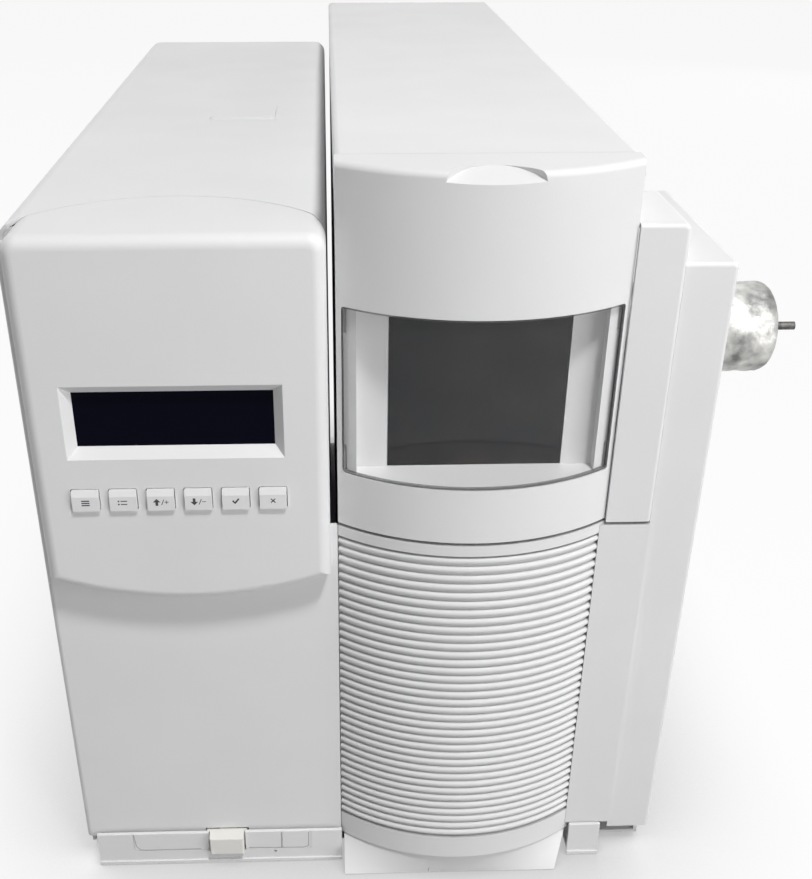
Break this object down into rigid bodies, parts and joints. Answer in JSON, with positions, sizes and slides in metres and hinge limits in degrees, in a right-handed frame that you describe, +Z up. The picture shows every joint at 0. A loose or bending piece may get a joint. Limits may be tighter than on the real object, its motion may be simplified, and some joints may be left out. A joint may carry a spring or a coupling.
{
  "type": "mass spectrometer",
  "caption": "Benchtop mass spectrometer with a ribbed bowed front, a window cover, a display panel with keys and a heated side interface for a gas chromatograph.",
  "frame": {"origin": "middle of the footprint, on the surface that the feet stand on", "axes": "+Z up, the front faces -Y, the interface leaves at +X"},
  "size_m": [0.4294, 0.594, 0.41],
  "materials": {
    "body_paint": "satin light grey powder coat",
    "body_moulding": "fine-grained light grey moulding",
    "insert_moulding": "fine-grained light grey moulding",
    "key_plastic": "satin off-white",
    "button_plastic": "satin cream",
    "display_glass": "dark navy display window",
    "tinted_glass": "smoked glass",
    "clear_plastic": "clear curved pane",
    "viewport_glass": "clear glass disc",
    "rubber": "black rubber",
    "bare_steel": "plain steel",
    "aluminium": "machined aluminium",
    "insulation_foil": "metal foil over insulation",
    "circuit_board": "green circuit board",
    "black_plastic": "black moulding",
    "box_steel": "plated steel box",
    "gold": "gold plated quartz",
    "ceramic": "white ceramic",
    "gauge_glass": "steel gauge tube"
  },
  "bodies": {
    "chassis": {"analyzer_mounts": "aluminium", "analyzer_shelf": "bare_steel", "base_pan": "body_paint", "board_guides": "black_plastic", "centre_wall": "bare_steel", "control_panel_cover": "body_moulding", "cover_screws": "bare_steel", "detector": "ceramic", "display_lens": "display_glass", "display_module": "circuit_board", "fan_frame": "black_plastic", "filaments": "ceramic", "foreline_tube": "bare_steel", "front_panel": "body_paint", "interface_flange": "bare_steel", "interface_sleeve": "insulation_foil", "interface_tube": "bare_steel", "ion_gauge": "gauge_glass", "ion_source": "bare_steel", "keypad_board": "circuit_board", "left_cover": "body_paint", "lower_front_cover": "body_moulding", "main_board": "circuit_board", "mains_transformer": "black_plastic", "network_port": "black_plastic", "plinth": "body_moulding", "power_inlet": "black_plastic", "power_supply": "box_steel", "power_switch": "black_plastic", "quadrupole": "gold", "rear_cover": "bare_steel", "rear_panel": "bare_steel", "rubber_feet": "rubber", "shoulder_cover": "body_paint", "side_board": "circuit_board", "side_cover": "body_paint", "side_plate": "aluminium", "thumbscrews": "bare_steel", "turbo_controller": "box_steel", "turbo_housing": "aluminium", "vacuum_manifold": "aluminium", "viewport_glass": "viewport_glass", "viewport_ring": "bare_steel"},
    "panel_key_1": {"panel_key_1": "key_plastic"},
    "panel_key_2": {"panel_key_2": "key_plastic"},
    "panel_key_3": {"panel_key_3": "key_plastic"},
    "panel_key_4": {"panel_key_4": "key_plastic"},
    "panel_key_5": {"panel_key_5": "key_plastic"},
    "panel_key_6": {"panel_key_6": "key_plastic"},
    "power_button": {"power_button": "button_plastic"},
    "window_cover": {"window_cover": "body_moulding", "window_insert": "insert_moulding", "window_pane": "clear_plastic", "tinted_glass": "tinted_glass"},
    "analyzer_cover": {"analyzer_cover": "body_paint"},
    "vent_valve_knob": {"vent_valve_knob": "black_plastic"},
    "fan_rotor": {"fan_rotor": "black_plastic"},
    "turbo_rotor": {"turbo_rotor": "aluminium"}
  },
  "joints": [
    {"name": "panel_key_1_press", "type": "slide", "parent": "chassis", "child": "panel_key_1", "axis": [0, 1, 0], "range_m": [0, 0.0012], "stiffness_N_per_m": 300},
    {"name": "panel_key_2_press", "type": "slide", "parent": "chassis", "child": "panel_key_2", "axis": [0, 1, 0], "range_m": [0, 0.0012], "stiffness_N_per_m": 300},
    {"name": "panel_key_3_press", "type": "slide", "parent": "chassis", "child": "panel_key_3", "axis": [0, 1, 0], "range_m": [0, 0.0012], "stiffness_N_per_m": 300},
    {"name": "panel_key_4_press", "type": "slide", "parent": "chassis", "child": "panel_key_4", "axis": [0, 1, 0], "range_m": [0, 0.0012], "stiffness_N_per_m": 300},
    {"name": "panel_key_5_press", "type": "slide", "parent": "chassis", "child": "panel_key_5", "axis": [0, 1, 0], "range_m": [0, 0.0012], "stiffness_N_per_m": 300},
    {"name": "panel_key_6_press", "type": "slide", "parent": "chassis", "child": "panel_key_6", "axis": [0, 1, 0], "range_m": [0, 0.0012], "stiffness_N_per_m": 300},
    {"name": "power_button_press", "type": "slide", "parent": "chassis", "child": "power_button", "axis": [0, 1, 0], "range_m": [0, 0.003], "stiffness_N_per_m": 400},
    {"name": "window_cover_pull", "type": "slide", "parent": "chassis", "child": "window_cover", "axis": [0, -1, 0], "range_m": [0, 0.06]},
    {"name": "analyzer_cover_lift", "type": "slide", "parent": "chassis", "child": "analyzer_cover", "axis": [0, 0, 1], "range_m": [0, 0.08]},
    {"name": "vent_valve_turn", "type": "hinge", "parent": "chassis", "child": "vent_valve_knob", "pos_m": [0.03585, -0.215, 0.229], "axis": [0, -1, 0], "range_deg": [0, 270]},
    {"name": "fan_spin", "type": "hinge", "parent": "chassis", "child": "fan_rotor", "pos_m": [-0.14465, 0.235, 0.3], "axis": [0, 1, 0], "continuous": true},
    {"name": "turbo_spin", "type": "hinge", "parent": "chassis", "child": "turbo_rotor", "pos_m": [0.00585, -0.035, 0.14], "axis": [0, 0, 1], "continuous": true}
  ]
}
